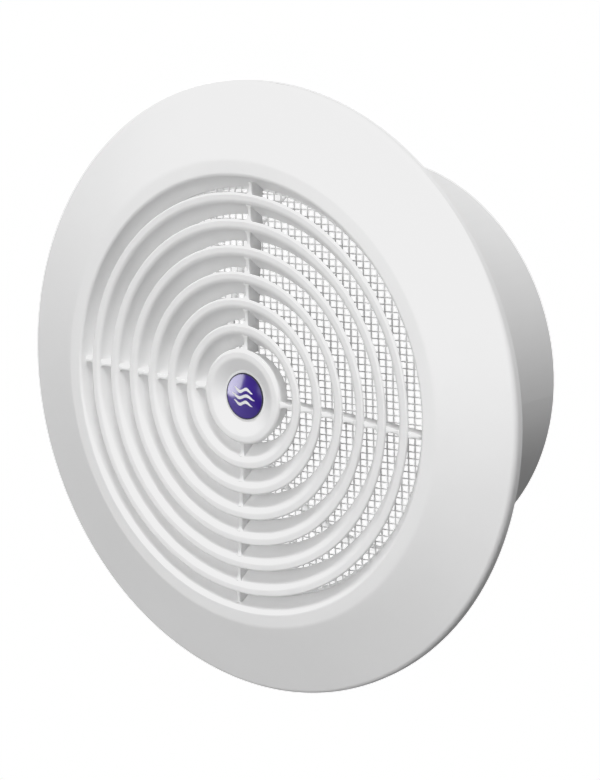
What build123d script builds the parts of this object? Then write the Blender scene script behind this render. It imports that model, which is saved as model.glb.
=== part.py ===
from build123d import *
import os
from math import sqrt

# Round ventilation grille with a tube for a 125 mm duct, in millimetres.
# The duct's axis is Y, the room is towards -Y, the wall's face is y = 0, and +Z is up.

# ---- flange ----
flange_radius = 90.0
rim_height = 2.8
rim_round = 2.3
crest_radius = 68.5
crest_y = -9.95
crest_round = 6.0
lip_radius = 64.0
lip_y = -10.35
lip_round = 1.3
opening_back_radius = 60.0
seam_radius = 66.3
pocket_side_radius = 65.2
pocket_top_inset = 0.6
shell_wall = 2.0
rib_count = 12
rib_width = 1.2
rib_back_y = -1.0
rib_inner_radius = 63.8
rib_outer_radius = 86.5

# ---- louvre rings, hub and spokes ----
blade_front_y = -10.4
blade_back_y = -4.19
hub_radius = 13.6
blade_pitch = 7.573
blade_count = 6
blade_nose_reach = 0.83
blade_outside_back = 5.3
blade_inside_front = 2.6
blade_inside_back = 6.9
blade_outer_round = 0.55
blade_inner_round = 1.8
blade_back_round = 0.2
spoke_width = 1.2
spoke_front_y = -9.35
spoke_root = 1.0
spoke_tip = 0.5

# ---- hub face and badge ----
hub_nose_radius = 14.4
hub_front_y = -10.5
hub_back_radius = 12.1
hub_nose_round = 1.1
hub_crest_radius = 11.3
hub_crest_round = 2.5
hub_dish_radius = 7.6
hub_dish_y = -8.8
badge_radius = 6.8
badge_seat_depth = 0.35
badge_plate_thickness = 0.6
badge_dome_radius = 6.45
badge_dome_height = 0.8

# ---- insect net ----
upright_strand_pitch = 2.406
upright_strand_width = 0.62
upright_strand_turn = 4.2
upright_strand_shift = -0.7
level_strand_pitch = 1.946
level_strand_width = 0.45
level_strand_turn = 5.6
level_strand_shift = -0.13
strand_depth = 0.28
net_radius = 60.6
net_seat_radius = 60.9
net_seat_back_y = -3.3

# ---- plug neck that clamps the net from behind, and the duct collar it pushes into ----
neck_radius = 60.3
neck_wall = 1.0
neck_back_y = 12.0
neck_chamfer = 0.4
shoulder_radius = 62.2
shoulder_back_y = -2.1
collar_radius = 62.3
collar_wall = 1.7
collar_front_y = -1.5
collar_back_y = 58.5
collar_chamfer = 0.5


def write_piece(piece, name):
    """Labels a piece and writes it as its own STEP file."""
    piece.label = name
    export_step(piece, f"parts/{name}.step")


def corners_at(sketch, radius, y):
    """The sketch's corners at a stated radius and depth."""
    near = 0.01
    across = sketch.vertices().filter_by_position(Axis.X, radius - near, radius + near)
    return across.filter_by_position(Axis.Y, y - near, y + near)


def louvre_ring(number):
    """One conical blade: wide and rounded at the front, leaning inwards to the net."""
    edge = hub_radius + blade_pitch * number
    nose = edge + blade_nose_reach
    outside_back = edge - blade_outside_back
    inside_front = edge - blade_inside_front
    inside_back = edge - blade_inside_back
    with BuildPart() as piece:
        with BuildSketch(Plane.XY) as section:
            with BuildLine():
                Polyline(
                    (nose, blade_front_y),
                    (inside_front, blade_front_y),
                    (inside_back, blade_back_y),
                    (outside_back, blade_back_y),
                    close=True,
                )
            make_face()
            fillet(corners_at(section, nose, blade_front_y), blade_outer_round)
            fillet(corners_at(section, inside_front, blade_front_y), blade_inner_round)
            fillet(corners_at(section, inside_back, blade_back_y), blade_back_round)
        revolve(axis=Axis.Y)
    return piece.part


os.makedirs("parts", exist_ok=True)

# ---- flange: a hollow conical bezel, a rounded lip round the louvres, and ribs behind ----
wall_lean = (lip_radius - opening_back_radius) / (blade_back_y - lip_y)
face_slope = (-rim_height - crest_y) / (flange_radius - crest_radius)
face_drop = shell_wall * sqrt(1 + face_slope**2)
seam_y = crest_y + (lip_y - crest_y) * (crest_radius - seam_radius) / (crest_radius - lip_radius)
pocket_rim_radius = flange_radius - shell_wall
pocket_rim_y = -rim_height - face_slope * shell_wall + face_drop
pocket_top_radius = crest_radius - pocket_top_inset
pocket_top_y = crest_y + face_slope * (pocket_top_radius - crest_radius) + face_drop

with BuildPart() as flange_bezel:
    with BuildSketch(Plane.XY) as bezel_section:
        with BuildLine():
            Polyline(
                (flange_radius, 0),
                (flange_radius, -rim_height),
                (crest_radius, crest_y),
                (seam_radius, seam_y),
                (seam_radius, pocket_top_y),
                (pocket_top_radius, pocket_top_y),
                (pocket_rim_radius, pocket_rim_y),
                (pocket_rim_radius, 0),
                close=True,
            )
        make_face()
        fillet(corners_at(bezel_section, crest_radius, crest_y), crest_round)
        fillet(corners_at(bezel_section, flange_radius, -rim_height), rim_round)
    revolve(axis=Axis.Y)
write_piece(flange_bezel.part, "flange_bezel")

with BuildPart() as opening_lip:
    with BuildSketch(Plane.XY) as lip_section:
        with BuildLine():
            Polyline(
                (seam_radius, seam_y),
                (lip_radius, lip_y),
                (opening_back_radius, blade_back_y),
                (net_seat_radius, blade_back_y),
                (net_seat_radius, net_seat_back_y),
                (shoulder_radius, net_seat_back_y),
                (pocket_side_radius, pocket_top_y),
                (seam_radius, pocket_top_y),
                close=True,
            )
        make_face()
        fillet(corners_at(lip_section, lip_radius, lip_y), lip_round)
    revolve(axis=Axis.Y)
write_piece(opening_lip.part, "opening_lip")

rib_root = shell_wall / 2
rib_under_y = pocket_rim_y - rib_root
with BuildPart() as flange_ribs:
    for number in range(rib_count):
        rib_turn = 360 / rib_count * (number + 0.5)
        with BuildSketch(Plane.XY.rotated((0, rib_turn, 0))):
            with BuildLine():
                Polyline(
                    (rib_inner_radius, rib_back_y),
                    (rib_inner_radius, pocket_top_y + rib_root),
                    (pocket_side_radius, pocket_top_y - rib_root),
                    (pocket_top_radius, pocket_top_y - rib_root),
                    (rib_outer_radius, rib_under_y),
                    (rib_outer_radius, rib_back_y),
                    close=True,
                )
            make_face()
        extrude(amount=rib_width / 2, both=True)
    add([flange_bezel.part, opening_lip.part], mode=Mode.SUBTRACT)
write_piece(flange_ribs.part, "flange_ribs")

# ---- louvre rings ----
louvre_rings = [louvre_ring(number) for number in range(1, blade_count + 1)]
for number, ring in enumerate(louvre_rings, start=1):
    write_piece(ring, f"louvre_ring_{number}")

# ---- hub: a dished boss with a seat for the badge ----
seat_y = hub_dish_y + badge_seat_depth
with BuildPart() as hub_boss:
    with BuildSketch(Plane.XY) as hub_section:
        with BuildLine():
            Polyline(
                (0, blade_back_y),
                (hub_back_radius, blade_back_y),
                (hub_nose_radius, hub_front_y),
                (hub_crest_radius, hub_front_y),
                (hub_dish_radius, hub_dish_y),
                (badge_radius, hub_dish_y),
                (badge_radius, seat_y),
                (0, seat_y),
                close=True,
            )
        make_face()
        fillet(corners_at(hub_section, hub_nose_radius, hub_front_y), hub_nose_round)
        fillet(corners_at(hub_section, hub_crest_radius, hub_front_y), hub_crest_round)
    revolve(axis=Axis.Y)
write_piece(hub_boss.part, "hub_boss")

# ---- spokes: thin plates in four directions, in lengths between the blades ----
hub_lean = (hub_nose_radius - hub_back_radius) / (blade_back_y - hub_front_y)
spoke_turns = {"right": 0, "top": -90, "left": 180, "bottom": 90}
spoke_inner_radius = hub_back_radius - spoke_root
spoke_inner_front = spoke_inner_radius + hub_lean * (blade_back_y - spoke_front_y)
spoke_outer_radius = opening_back_radius + spoke_tip
spoke_front_reach = spoke_outer_radius + wall_lean * (blade_back_y - spoke_front_y)
for side, turn in spoke_turns.items():
    with BuildPart() as spoke:
        with BuildSketch(Plane.XY.rotated((0, turn, 0))):
            with BuildLine():
                Polyline(
                    (spoke_inner_radius, blade_back_y),
                    (spoke_outer_radius, blade_back_y),
                    (spoke_front_reach, spoke_front_y),
                    (spoke_inner_front, spoke_front_y),
                    close=True,
                )
            make_face()
        extrude(amount=spoke_width / 2, both=True)
        add([hub_boss.part, *louvre_rings, opening_lip.part], mode=Mode.SUBTRACT)
    write_piece(spoke.part, f"spoke_{side}")

# ---- badge: a round printed plate under a clear dome ----
plate_front_y = seat_y - badge_plate_thickness
with BuildPart() as badge_plate:
    with BuildSketch(Plane.XZ.offset(-seat_y)):
        Circle(badge_radius)
    extrude(amount=badge_plate_thickness)
write_piece(badge_plate.part, "badge_plate")

dome_sphere_radius = (badge_dome_radius**2 + badge_dome_height**2) / (2 * badge_dome_height)
with BuildPart() as badge_dome:
    with BuildSketch(Plane.XY):
        with BuildLine():
            Line((0, plate_front_y - badge_dome_height), (0, plate_front_y))
            Line((0, plate_front_y), (badge_dome_radius, plate_front_y))
            RadiusArc(
                (badge_dome_radius, plate_front_y),
                (0, plate_front_y - badge_dome_height),
                dome_sphere_radius,
            )
        make_face()
    revolve(axis=Axis.Y)
write_piece(badge_dome.part, "badge_dome")


# ---- insect net: two layers of parallel strands, crossing nearly at right angles ----
def net_layer(pitch, width, turn, shift, upright, front_y):
    """Parallel strands of one layer, each cut to length inside the net's circle."""
    plane = Plane.XZ.offset(-front_y - strand_depth).rotated((0, -turn, 0))
    steps = int(net_radius / pitch) + 1
    with BuildPart() as layer:
        with BuildSketch(plane):
            for number in range(-steps, steps + 1):
                middle = number * pitch + shift
                reach = abs(middle) + width / 2
                if reach > net_radius - pitch / 2:
                    continue
                length = 2 * sqrt(net_radius**2 - reach**2)
                place = (middle, 0) if upright else (0, middle)
                size = (width, length) if upright else (length, width)
                with Locations(place):
                    Rectangle(*size)
        extrude(amount=strand_depth)
    return layer.part


net_front_y = blade_back_y
net_middle_y = net_front_y + strand_depth
net_back_y = net_middle_y + strand_depth
upright_strands = net_layer(
    upright_strand_pitch,
    upright_strand_width,
    upright_strand_turn,
    upright_strand_shift,
    True,
    net_front_y,
)
level_strands = net_layer(
    level_strand_pitch,
    level_strand_width,
    level_strand_turn,
    level_strand_shift,
    False,
    net_middle_y,
)
write_piece(upright_strands, "net_upright_strands")
write_piece(level_strands, "net_level_strands")

# ---- neck: a plug with a shoulder that traps the net's edge against its seat ----
neck_inner_radius = neck_radius - neck_wall
with BuildPart() as plug_neck:
    with BuildSketch(Plane.XY):
        with BuildLine():
            Polyline(
                (neck_inner_radius, net_back_y),
                (net_seat_radius, net_back_y),
                (net_seat_radius, net_seat_back_y),
                (shoulder_radius, net_seat_back_y),
                (shoulder_radius, shoulder_back_y),
                (neck_radius, shoulder_back_y),
                (neck_radius, neck_back_y - neck_chamfer),
                (neck_radius - neck_chamfer, neck_back_y),
                (neck_inner_radius, neck_back_y),
                close=True,
            )
        make_face()
    revolve(axis=Axis.Y)
write_piece(plug_neck.part, "plug_neck")

# ---- duct collar: a plain tube whose outer far edge is chamfered ----
collar_bore = collar_radius - collar_wall
with BuildPart() as duct_collar:
    with BuildSketch(Plane.XY):
        with BuildLine():
            Polyline(
                (collar_bore, collar_front_y),
                (collar_radius, collar_front_y),
                (collar_radius, collar_back_y - collar_chamfer),
                (collar_radius - collar_chamfer, collar_back_y),
                (collar_bore, collar_back_y),
                close=True,
            )
        make_face()
    revolve(axis=Axis.Y)
write_piece(duct_collar.part, "duct_collar")
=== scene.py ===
from math import cos, exp, pi, radians, sin, sqrt, tan

import bpy
import bmesh
import random
from mathutils import Matrix, Vector


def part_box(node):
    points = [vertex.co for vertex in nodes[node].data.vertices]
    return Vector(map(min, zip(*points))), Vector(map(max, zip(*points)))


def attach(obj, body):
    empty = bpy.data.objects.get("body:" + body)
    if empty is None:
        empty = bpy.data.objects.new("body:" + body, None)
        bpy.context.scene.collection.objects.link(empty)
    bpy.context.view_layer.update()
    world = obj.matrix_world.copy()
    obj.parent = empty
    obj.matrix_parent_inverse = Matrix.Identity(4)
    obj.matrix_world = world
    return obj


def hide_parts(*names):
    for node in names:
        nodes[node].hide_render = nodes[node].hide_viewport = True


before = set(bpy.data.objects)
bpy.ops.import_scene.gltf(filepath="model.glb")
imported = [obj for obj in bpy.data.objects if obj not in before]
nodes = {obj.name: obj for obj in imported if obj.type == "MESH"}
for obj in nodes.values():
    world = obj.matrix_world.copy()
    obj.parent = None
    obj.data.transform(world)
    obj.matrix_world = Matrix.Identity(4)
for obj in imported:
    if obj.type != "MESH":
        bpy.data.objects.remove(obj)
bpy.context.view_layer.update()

MM = 0.001

# ---- camera: right of the duct's axis and above it, looking down a long lens ----
camera_azimuth = radians(38.2795)
camera_elevation = radians(14.2898)
camera_roll = radians(1.9293)
camera_distance = 0.70980
camera_aim = Vector((0.013168, 0.0, 0.002709))
camera_lens = 113.881
sensor_width = 36.0


def add_camera():
    """Places the camera from its azimuth, elevation, roll and distance to its aim."""
    back = Vector((
        sin(camera_azimuth) * cos(camera_elevation),
        -cos(camera_azimuth) * cos(camera_elevation),
        sin(camera_elevation),
    ))
    level = Vector((cos(camera_azimuth), sin(camera_azimuth), 0.0))
    upright = back.cross(level)
    right = cos(camera_roll) * level + sin(camera_roll) * upright
    up = cos(camera_roll) * upright - sin(camera_roll) * level
    data = bpy.data.cameras.new("camera")
    data.lens = camera_lens
    data.sensor_width = sensor_width
    data.clip_start = 0.01
    data.clip_end = 100.0
    camera = bpy.data.objects.new("camera", data)
    turn = Matrix((right, up, back)).transposed().to_4x4()
    camera.matrix_world = Matrix.Translation(camera_aim + back * camera_distance) @ turn
    bpy.context.scene.collection.objects.link(camera)
    bpy.context.scene.camera = camera


add_camera()

# ---- tone: the plastic's brightest parts level off below the backdrop's white ----
backdrop = 1.2
tone_steps = ((0.4, 0.4), (0.8, 0.8), (0.84, 0.838), (0.87, 0.855), (0.98, 0.863), (1.1, 0.87))
combined_curve = 3


def set_tone():
    """Standard view, with a curve that levels off the highlights."""
    view = bpy.context.scene.view_settings
    view.view_transform = "Standard"
    view.use_curve_mapping = True
    mapping = view.curve_mapping
    mapping.white_level = (backdrop, backdrop, backdrop)
    curve = mapping.curves[combined_curve]
    for shown_from, shown in tone_steps:
        curve.points.new(shown_from / backdrop, shown)
    for point in curve.points:
        point.handle_type = "VECTOR"
    mapping.update()


set_tone()


# ---- materials ----
class Shader:
    """A principled material and short ways to add the nodes that feed it."""

    def __init__(self, name, **values):
        self.material = bpy.data.materials.new(name)
        self.material.use_nodes = True
        self.tree = self.material.node_tree
        self.surface = self.tree.nodes["Principled BSDF"]
        self.place = self.add("ShaderNodeTexCoord").outputs["Object"]
        for socket, value in values.items():
            self.surface.inputs[socket.replace("_", " ")].default_value = value

    def add(self, kind, **settings):
        """Adds a node with its settings."""
        node = self.tree.nodes.new(kind)
        for name, value in settings.items():
            setattr(node, name, value)
        return node

    def plug(self, source, target):
        """Links an output to an input, or sets the input to a plain value."""
        if isinstance(source, bpy.types.NodeSocket):
            self.tree.links.new(source, target)
        else:
            target.default_value = source

    def noise(self, scale, detail=2.0, rough=0.5, stretch=None):
        """Noise over the object, in features of about 1 / scale metres."""
        node = self.add("ShaderNodeTexNoise")
        where = self.place
        if stretch:
            mapping = self.add("ShaderNodeMapping")
            mapping.inputs["Scale"].default_value = stretch
            self.plug(self.place, mapping.inputs["Vector"])
            where = mapping.outputs["Vector"]
        self.plug(where, node.inputs["Vector"])
        node.inputs["Scale"].default_value = scale
        node.inputs["Detail"].default_value = detail
        node.inputs["Roughness"].default_value = rough
        return node.outputs["Fac"]

    def ramp(self, source, low, high, start=0.0, end=1.0):
        """Maps a value between two limits to a new range."""
        node = self.add("ShaderNodeMapRange")
        self.plug(source, node.inputs["Value"])
        node.inputs["From Min"].default_value = start
        node.inputs["From Max"].default_value = end
        node.inputs["To Min"].default_value = low
        node.inputs["To Max"].default_value = high
        return node.outputs["Result"]

    def mix(self, amount, first, second):
        """Mixes two colours."""
        node = self.add("ShaderNodeMix", data_type="RGBA")
        self.plug(amount, node.inputs["Factor"])
        self.plug(first, node.inputs["A"])
        self.plug(second, node.inputs["B"])
        colours = [s for s in node.outputs if s.type == "RGBA"]
        return colours[0]

    def math(self, operation, first, second=0.0):
        """One arithmetic step."""
        node = self.add("ShaderNodeMath", operation=operation)
        self.plug(first, node.inputs[0])
        self.plug(second, node.inputs[1])
        return node.outputs[0]

    def bump(self, height, strength, distance):
        """Feeds a height to the surface's normal."""
        node = self.add("ShaderNodeBump")
        node.inputs["Strength"].default_value = strength
        node.inputs["Distance"].default_value = distance
        self.plug(height, node.inputs["Height"])
        self.plug(node.outputs["Normal"], self.surface.inputs["Normal"])


def grey(level, warmth=0.0):
    """A nearly neutral colour."""
    return (level + warmth, level, level - warmth, 1.0)


plastic_ior = 1.49
cloud_scale = 22.0
grain_scale = 1900.0


def moulded_plastic(name, level, roughness, draw_lines):
    """Satin white moulding: faint clouding, fine eroded grain, and flow or draw lines."""
    shader = Shader(name, IOR=plastic_ior)
    cloud = shader.noise(cloud_scale, 3.0)
    grain = shader.noise(grain_scale, 2.0, 0.6)
    lines = shader.noise(1.0, 3.0, 0.55, draw_lines)
    tone = shader.mix(shader.ramp(cloud, 0.0, 1.0, 0.35, 0.65), grey(level - 0.012), grey(level + 0.008))
    tone = shader.mix(shader.ramp(lines, 0.0, 0.25, 0.4, 0.7), tone, grey(level - 0.03, 0.002))
    shader.plug(tone, shader.surface.inputs["Base Color"])
    rough = shader.math("ADD", shader.ramp(cloud, roughness - 0.03, roughness + 0.04, 0.3, 0.7),
                        shader.ramp(grain, -0.04, 0.04, 0.3, 0.7))
    shader.plug(rough, shader.surface.inputs["Roughness"])
    height = shader.math("ADD", shader.math("MULTIPLY", lines, 0.6), shader.math("MULTIPLY", grain, 0.4))
    shader.bump(height, 0.12, 0.00008)
    return shader.material


front_plastic = moulded_plastic("front_plastic", 0.885, 0.46, (60.0, 60.0, 60.0))
collar_plastic = moulded_plastic("collar_plastic", 0.85, 0.5, (420.0, 14.0, 420.0))


def net_material():
    """Matt drawn netting, a little uneven along each strand."""
    shader = Shader("net_plastic", IOR=plastic_ior, Subsurface_Weight=0.25, Subsurface_Scale=0.0012)
    shader.surface.inputs["Subsurface Radius"].default_value = (1.0, 1.0, 1.0)
    uneven = shader.noise(700.0, 2.0)
    shader.plug(shader.mix(uneven, grey(0.86), grey(0.94)), shader.surface.inputs["Base Color"])
    shader.plug(shader.ramp(uneven, 0.5, 0.65, 0.3, 0.7), shader.surface.inputs["Roughness"])
    shader.bump(uneven, 0.3, 0.00005)
    return shader.material


net_plastic = net_material()

# ---- badge: sizes in millimetres, as in the CAD ----
lens_radius = 6.45
lens_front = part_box("badge_dome")[0].y
indigo = (0.022, 0.003, 0.165, 1.0)
deep_indigo = (0.018, 0.002, 0.145, 1.0)
navy = (0.010, 0.008, 0.045, 1.0)


def lens_material():
    """Indigo print, a little uneven, under a clear domed gloss."""
    shader = Shader("lens_print", Roughness=0.6, Coat_Weight=1.0, Coat_Roughness=0.14, Coat_IOR=1.5)
    shader.surface.inputs["Specular IOR Level"].default_value = 0.1
    uneven = shader.ramp(shader.noise(300.0, 2.0), 0.0, 1.0, 0.3, 0.7)
    shader.plug(shader.mix(uneven, deep_indigo, indigo), shader.surface.inputs["Base Color"])
    shader.bump(shader.noise(240.0, 2.0), 0.05, 0.00005)
    return shader.material


def plain_gloss(name, colour, scale):
    """Glossy print with a faint unevenness."""
    shader = Shader(name, Coat_Weight=0.6, Coat_Roughness=0.08)
    uneven = shader.noise(scale, 2.0)
    darker = tuple(0.82 * c for c in colour[:3]) + (1.0,)
    shader.plug(shader.mix(uneven, darker, colour), shader.surface.inputs["Base Color"])
    shader.plug(shader.ramp(uneven, 0.25, 0.4, 0.3, 0.7), shader.surface.inputs["Roughness"])
    return shader.material


lens_print = lens_material()
rim_print = plain_gloss("rim_print", navy, 400.0)
mark_print = plain_gloss("mark_print", grey(0.97), 500.0)


def dress(name, material):
    """Gives a CAD node its material."""
    slots = nodes[name].data.materials
    slots.clear()
    slots.append(material)


finishes = {"duct_collar": collar_plastic, "badge_plate": rim_print, "badge_dome": lens_print}
for name in nodes:
    dress(name, finishes.get(name, front_plastic))


# ---- pieces ----
weld = 1e-7


def add_piece(name, vertices, faces, material, slot):
    """Makes a mesh object that rides on the front; its slot argument is not used."""
    mesh = bpy.data.meshes.new(name)
    mesh.from_pydata(vertices, [], faces)
    mesh.update()
    work = bmesh.new()
    work.from_mesh(mesh)
    bmesh.ops.remove_doubles(work, verts=work.verts, dist=weld)
    bmesh.ops.recalc_face_normals(work, faces=work.faces)
    work.to_mesh(mesh)
    work.free()
    for polygon in mesh.polygons:
        polygon.use_smooth = True
    mesh.materials.append(material)
    piece = bpy.data.objects.new(name, mesh)
    bpy.context.scene.collection.objects.link(piece)
    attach(piece, "front")
    return piece


# ---- lathed mouldings: the CAD's sections in millimetres, with fine rounds and true normals ----
lathe_steps = 288
round_steps = 7
loop_gap = 0.06
share_of_run = 0.45


def rounded_section(corners):
    """Turns each corner (radius, depth, round) into an arc with a supporting point either side."""
    points = []
    count = len(corners)
    for index, (r, y, size) in enumerate(corners):
        here = Vector((r, y))
        before = Vector(corners[index - 1][:2]) - here
        after = Vector(corners[(index + 1) % count][:2]) - here
        run_in, run_out = before.length, after.length
        if size == 0:
            points.append(here)
            continue
        before.normalize()
        after.normalize()
        half = before.angle(after) / 2
        size = min(size, share_of_run * min(run_in, run_out) * tan(half))
        reach = size / tan(half)
        middle = here + (before + after).normalized() * (size / sin(half))
        start = here + before * reach
        end = here + after * reach
        sweep = pi - 2 * half
        side = 1 if before.cross(after) < 0 else -1
        points.append(start + before * min(loop_gap, share_of_run * (run_in - reach)))
        for step in range(round_steps + 1):
            turned = Matrix.Rotation(side * sweep * step / round_steps, 2) @ (start - middle)
            points.append(middle + turned)
        points.append(end + after * min(loop_gap, share_of_run * (run_out - reach)))
    return points


def lathe(name, corners, slot, *replaced):
    """Turns a closed section about the duct's axis, and stands it in for CAD nodes."""
    section = rounded_section(corners)
    size = len(section)
    vertices, faces = [], []
    for step in range(lathe_steps):
        angle = 2 * pi * step / lathe_steps
        vertices += [(p.x * cos(angle) * MM, p.y * MM, p.x * sin(angle) * MM) for p in section]
        here = step * size
        ahead = (step + 1) % lathe_steps * size
        for index in range(size):
            other = (index + 1) % size
            faces.append((here + index, here + other, ahead + other, ahead + index))
    piece = add_piece(name, vertices, faces, front_plastic, slot)
    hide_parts(*replaced)


sharp = 0.15
pocket_round = 0.3
blade_front = -10.4
blade_back = -4.19
blade_count = 6
blade_pitch = 7.573
blade_nose_reach = 0.83
hub_edge = 13.6
blade_edges = [hub_edge + blade_pitch * number for number in range(1, blade_count + 1)]
for number, edge in enumerate(blade_edges, start=1):
    lathe(f"louvre_moulding_{number}", (
        (edge + blade_nose_reach, blade_front, 0.55),
        (edge - 2.6, blade_front, 1.8),
        (edge - 6.9, blade_back, sharp),
        (edge - 5.3, blade_back, sharp),
    ), "white_plastic", f"louvre_ring_{number}")

flange_edge = 90.0
rim_back = 88.0
lip_radius = 64.0
lip_front = -10.35
net_seat = 60.9
net_seat_back = -3.3
pocket_front = -8.04
lathe("flange_moulding", (
    (flange_edge, 0.0, sharp),
    (flange_edge, -2.8, 2.3),
    (68.5, -9.95, 6.0),
    (lip_radius, lip_front, 1.3),
    (60.0, blade_back, sharp),
    (net_seat, blade_back, sharp),
    (net_seat, net_seat_back, sharp),
    (62.2, net_seat_back, sharp),
    (65.2, pocket_front, pocket_round),
    (67.9, pocket_front, pocket_round),
    (rim_back, -1.36, pocket_round),
    (rim_back, 0.0, sharp),
), "white_plastic", "flange_bezel", "opening_lip")

hub_nose = 14.4
hub_front = -10.5
badge_edge = 6.8
dish_front = -8.8
seat_front = -8.45
lathe("hub_moulding", (
    (0.0, blade_back, 0),
    (12.1, blade_back, sharp),
    (hub_nose, hub_front, 1.1),
    (11.3, hub_front, 2.5),
    (7.6, dish_front, sharp),
    (badge_edge, dish_front, sharp),
    (badge_edge, seat_front, 0),
    (0.0, seat_front, 0),
), "white_plastic", "hub_boss")

# ---- spokes: thin plates with rounded fronts that flare into each blade, the hub and the lip ----
spoke_half = 0.6
spoke_front = -9.35
spoke_round = 0.38
flare_width = 0.55
flare_rise = 0.5
flare_reach = 0.55
spoke_step = 0.2
spoke_inner = 12.6
spoke_outer = 62.4
spoke_arc_steps = 4
root_swell = 0.04
shoulder_swell = 0.02
shoulder_depth = 1.6
hub_lean = 0.36
lip_lean = 0.65
blade_inside = 3.33


def spoke_contacts():
    """Where a spoke's front edge meets the hub, each blade's two sides, and the lip."""
    behind = spoke_front - blade_front
    places = [hub_nose - behind * hub_lean]
    for edge in blade_edges:
        places += [edge - blade_inside, edge + blade_nose_reach - behind]
    return places + [lip_radius - (spoke_front - lip_front) * lip_lean]


def spoke_outline(near):
    """The spoke's section, as steps across and in depth, swollen by how near a contact is."""
    half = spoke_half + flare_width * near
    front = spoke_front - flare_rise * near
    edges = []
    for step in range(spoke_arc_steps + 1):
        angle = pi / 2 * step / spoke_arc_steps
        edges.append((half - spoke_round * (1 - cos(angle)), front + spoke_round * (1 - sin(angle))))
    flank = [(spoke_half + root_swell, blade_back), (spoke_half + shoulder_swell, front + shoulder_depth)]
    one_side = flank + edges
    mirrored = [(-across, y) for across, y in one_side]
    return mirrored + [(0.0, front)] + one_side[::-1]


def spoke(side, turn):
    """One spoke as a closed strip along its radius, swelling near every contact."""
    contacts = spoke_contacts()
    along = Vector((cos(turn), 0.0, sin(turn)))
    across = Vector((-sin(turn), 0.0, cos(turn)))
    vertices, faces = [], []
    rows = int((spoke_outer - spoke_inner) / spoke_step)
    size = 0
    for row in range(rows + 1):
        r = spoke_inner + (spoke_outer - spoke_inner) * row / rows
        outline = spoke_outline(exp(-min(abs(r - c) for c in contacts) / flare_reach))
        size = len(outline)
        for sideways, y in outline:
            place = along * r + across * sideways
            vertices.append((place.x * MM, y * MM, place.z * MM))
    for row in range(rows):
        for index in range(size):
            a = row * size + index
            b = row * size + (index + 1) % size
            faces.append((a, b, b + size, a + size))
    faces.append(tuple(range(size)))
    faces.append(tuple(rows * size + index for index in range(size)))
    piece = add_piece(f"spoke_moulding_{side}", vertices, faces, front_plastic, "white_plastic")
    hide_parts(f"spoke_{side}")


for side, turn in (("right", 0), ("top", pi / 2), ("left", pi), ("bottom", 3 * pi / 2)):
    spoke(side, turn)

# ---- insect net: rounded strands that swell and weld where they cross ----
net_radius = 60.6 * MM
section_points = 8
swell = 0.16
sway = 0.035 * MM
sway_length = 9.0 * MM
unevenness = 0.3
upright = {"pitch": 2.406 * MM, "turn": 4.2, "shift": -0.7 * MM, "width": 0.62 * MM, "y": -4.00 * MM}
level = {"pitch": 1.946 * MM, "turn": 5.6, "shift": -0.13 * MM, "width": 0.45 * MM, "y": -3.84 * MM}
strand_half_depth = 0.18 * MM


def strands(own, other, is_upright, seed):
    """Vertices and faces of one direction's strands, cut to the net's circle."""
    rng = random.Random(seed)
    turn = radians(own["turn"])
    if is_upright:
        across = Vector((cos(turn), 0.0, sin(turn)))
        along = Vector((-sin(turn), 0.0, cos(turn)))
    else:
        across = Vector((-sin(turn), 0.0, cos(turn)))
        along = Vector((cos(turn), 0.0, sin(turn)))
    vertices, faces = [], []
    count = int(net_radius / own["pitch"]) + 1
    for number in range(-count, count + 1):
        middle = number * own["pitch"] + own["shift"]
        reach = abs(middle) + own["width"] / 2
        if reach > net_radius - own["pitch"] / 2:
            continue
        half = sqrt(net_radius**2 - reach**2)
        step = other["pitch"] / 2
        first = int(-half / step) - 1
        places = [k * step + other["shift"] for k in range(first, -first + 2)]
        places = [-half] + [p for p in places if -half < p < half] + [half]
        phase = rng.uniform(0, 2 * pi)
        start = len(vertices)
        for place in places:
            turns = (place - other["shift"]) / other["pitch"]
            size = 1.0 + swell * cos(2 * pi * turns)
            drift = sway * sin(phase + place / sway_length) + rng.uniform(-unevenness, unevenness) * sway
            centre = across * (middle + drift) + along * place + Vector((0, own["y"], 0))
            for k in range(section_points):
                angle = 2 * pi * (k + 0.5) / section_points
                side = across * (cos(angle) * own["width"] / 2 * size)
                deep = Vector((0, sin(angle) * strand_half_depth, 0))
                vertices.append(centre + side + deep)
        for row in range(len(places) - 1):
            for k in range(section_points):
                a = start + row * section_points + k
                b = start + row * section_points + (k + 1) % section_points
                faces.append((a, b, b + section_points, a + section_points))
        faces.append([start + k for k in range(section_points)])
        last = start + (len(places) - 1) * section_points
        faces.append([last + k for k in reversed(range(section_points))])
    return vertices, faces


for name, own, other, is_upright, seed in (
    ("net_upright_wires", upright, level, True, 5),
    ("net_level_wires", level, upright, False, 8),
):
    piece = add_piece(name, *strands(own, other, is_upright, seed), net_plastic, "net_plastic")
    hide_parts(name.replace("wires", "strands"))

# ---- badge mark: three wavy lines for moving air, raised a hair above the lens ----
dome_height = 0.8
lens_ball = (lens_radius**2 + dome_height**2) / (2 * dome_height) * MM
wave_steps = 48
wave_rise = 0.5 * MM
wave_lift = 0.03 * MM
wave_width = 0.95 * MM
wave_tip = 0.04


def lens_y(x, z):
    """The lens's front surface at a place on it."""
    return lens_front + lens_ball - sqrt(lens_ball**2 - x * x - z * z)


def wave_line(height, reach):
    """Vertices and faces of one wavy ribbon that tapers to its ends."""
    vertices, faces = [], []
    for k in range(wave_steps + 1):
        t = 2 * k / wave_steps - 1
        x = t * reach
        z = height + wave_rise * sin(t * 1.5 * pi)
        half = wave_width / 2 * max(wave_tip, 1 - t**4)
        for offset in (half, -half):
            vertices.append((x, lens_y(x, z + offset) - wave_lift, z + offset))
    for k in range(wave_steps):
        faces.append((2 * k, 2 * k + 1, 2 * k + 3, 2 * k + 2))
    return vertices, faces


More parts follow.
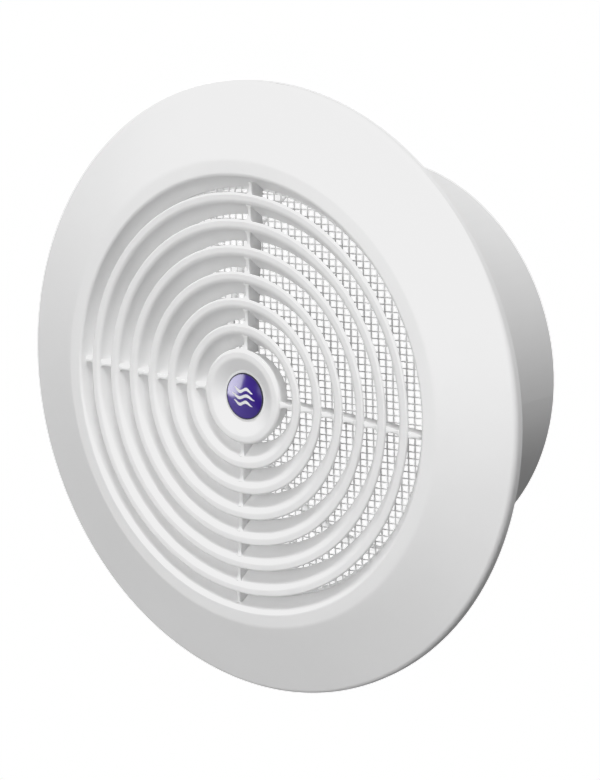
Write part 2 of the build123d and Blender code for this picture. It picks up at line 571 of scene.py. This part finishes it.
vertices, faces = [], []
for height, reach in ((1.9 * MM, 3.5 * MM), (0.0, 4.3 * MM), (-1.9 * MM, 3.5 * MM)):
    some, some_faces = wave_line(height, reach)
    faces += [[i + len(vertices) for i in f] for f in some_faces]
    vertices += some
add_piece("badge_mark", vertices, faces, mark_print, "badge_print")

# ---- studio: a soft key from above, fills from the front, side and below, and a sheen for the badge ----
sun_distance = 2.0


def add_sun(name, tilt, around, energy, size):
    """A soft distant light: tilt from straight ahead of the grille, and its angle round the axis."""
    t, p = radians(tilt), radians(around)
    toward = Vector((sin(t) * cos(p), -cos(t), sin(t) * sin(p)))
    data = bpy.data.lights.new(name, "SUN")
    data.energy = energy
    data.angle = radians(size)
    light = bpy.data.objects.new(name, data)
    light.location = toward * sun_distance
    light.rotation_euler = toward.to_track_quat("Z", "Y").to_euler()
    bpy.context.scene.collection.objects.link(light)
    return light


def light_only(light, *names):
    """Keeps a light to the named CAD nodes."""
    lit = bpy.data.collections.new(f"lit_by_{light.name}")
    for name in names:
        lit.objects.link(nodes[name])
    light.light_linking.receiver_collection = lit


add_sun("key", 76, 73, 2.32, 24)
add_sun("front_fill", 4, 60, 1.05, 40)
add_sun("side_fill", 32, 22, 0.47, 30)
add_sun("upper_fill", 28, 108, 0.46, 40)
add_sun("low_fill", 56, 226, 0.3, 50)
light_only(add_sun("badge_sheen", 60, 176, 3.4, 40), "badge_dome")


duct_panel_width = 0.11
duct_panel_watts = 0.1
duct_panel_y = 0.0592


def add_duct_light():
    """A soft panel in the tube's back end that lights only the tube's pieces; it doesn't show itself."""
    data = bpy.data.lights.new("duct_glow", "AREA")
    data.shape = "DISK"
    data.size = duct_panel_width
    data.energy = duct_panel_watts
    light = bpy.data.objects.new("duct_glow", data)
    light.location = (0.0, duct_panel_y, 0.0)
    light.rotation_euler = Vector((0, 1, 0)).to_track_quat("Z", "Y").to_euler()
    light.visible_camera = False
    bpy.context.scene.collection.objects.link(light)
    tube = ("duct_collar", "plug_neck")
    light_only(light, *tube)
    for name in tube:
        nodes[name].visible_diffuse = False


add_duct_light()

# ---- floor: a plain white sheet under the object, as bright as the backdrop ----
floor_z = -0.5
floor_reach = 6.0
floor_steps = 8


def add_floor():
    """A lit white floor that doesn't colour the object's light."""
    row_size = floor_steps + 1
    places = [floor_reach * (2 * step / floor_steps - 1) for step in range(row_size)]
    vertices = [(x, y, floor_z) for y in places for x in places]
    faces = []
    for row in range(floor_steps):
        for column in range(floor_steps):
            a = row * row_size + column
            faces.append((a, a + 1, a + row_size + 1, a + row_size))
    mesh = bpy.data.meshes.new("floor")
    mesh.from_pydata(vertices, [], faces)
    material = bpy.data.materials.new("floor_white")
    material.use_nodes = True
    tree = material.node_tree
    glow = tree.nodes.new("ShaderNodeEmission")
    glow.inputs["Strength"].default_value = backdrop
    tree.links.new(glow.outputs[0], tree.nodes["Material Output"].inputs["Surface"])
    mesh.materials.append(material)
    floor = bpy.data.objects.new("floor", mesh)
    floor.visible_diffuse = False
    floor.visible_glossy = False
    floor.visible_transmission = False
    floor.visible_shadow = False
    bpy.context.scene.collection.objects.link(floor)


add_floor()


sky_lobes = (((0, 1, 0), 0.85), ((-1, 0, 0), 0.22))


def add_world():
    """White where the camera sees it; the light it gives comes from behind and from the left."""
    world = bpy.data.worlds.new("studio")
    bpy.context.scene.world = world
    world.use_nodes = True
    tree = world.node_tree
    sky = tree.nodes["Background"]
    seen = tree.nodes.new("ShaderNodeBackground")
    seen.inputs["Strength"].default_value = backdrop
    choose = tree.nodes.new("ShaderNodeMixShader")
    path = tree.nodes.new("ShaderNodeLightPath")
    place = tree.nodes.new("ShaderNodeTexCoord")

    def math(operation, *values):
        """One arithmetic step on links or plain values."""
        node = tree.nodes.new("ShaderNodeMath")
        node.operation = operation
        for value, socket in zip(values, node.inputs):
            if isinstance(value, bpy.types.NodeSocket):
                tree.links.new(value, socket)
            else:
                socket.default_value = value
        return node.outputs[0]

    total = 0.0
    for direction, strength in sky_lobes:
        dot = tree.nodes.new("ShaderNodeVectorMath")
        dot.operation = "DOT_PRODUCT"
        dot.inputs[1].default_value = direction
        tree.links.new(place.outputs["Generated"], dot.inputs[0])
        facing = math("MAXIMUM", dot.outputs["Value"], 0.0)
        total = math("MULTIPLY_ADD", math("MULTIPLY", facing, facing), strength, total)
    sky.inputs["Color"].default_value = (1, 1, 1, 1)
    seen.inputs["Color"].default_value = (1, 1, 1, 1)
    tree.links.new(total, sky.inputs["Strength"])
    tree.links.new(path.outputs["Is Camera Ray"], choose.inputs[0])
    tree.links.new(sky.outputs[0], choose.inputs[1])
    tree.links.new(seen.outputs[0], choose.inputs[2])
    tree.links.new(choose.outputs[0], tree.nodes["World Output"].inputs["Surface"])


add_world()
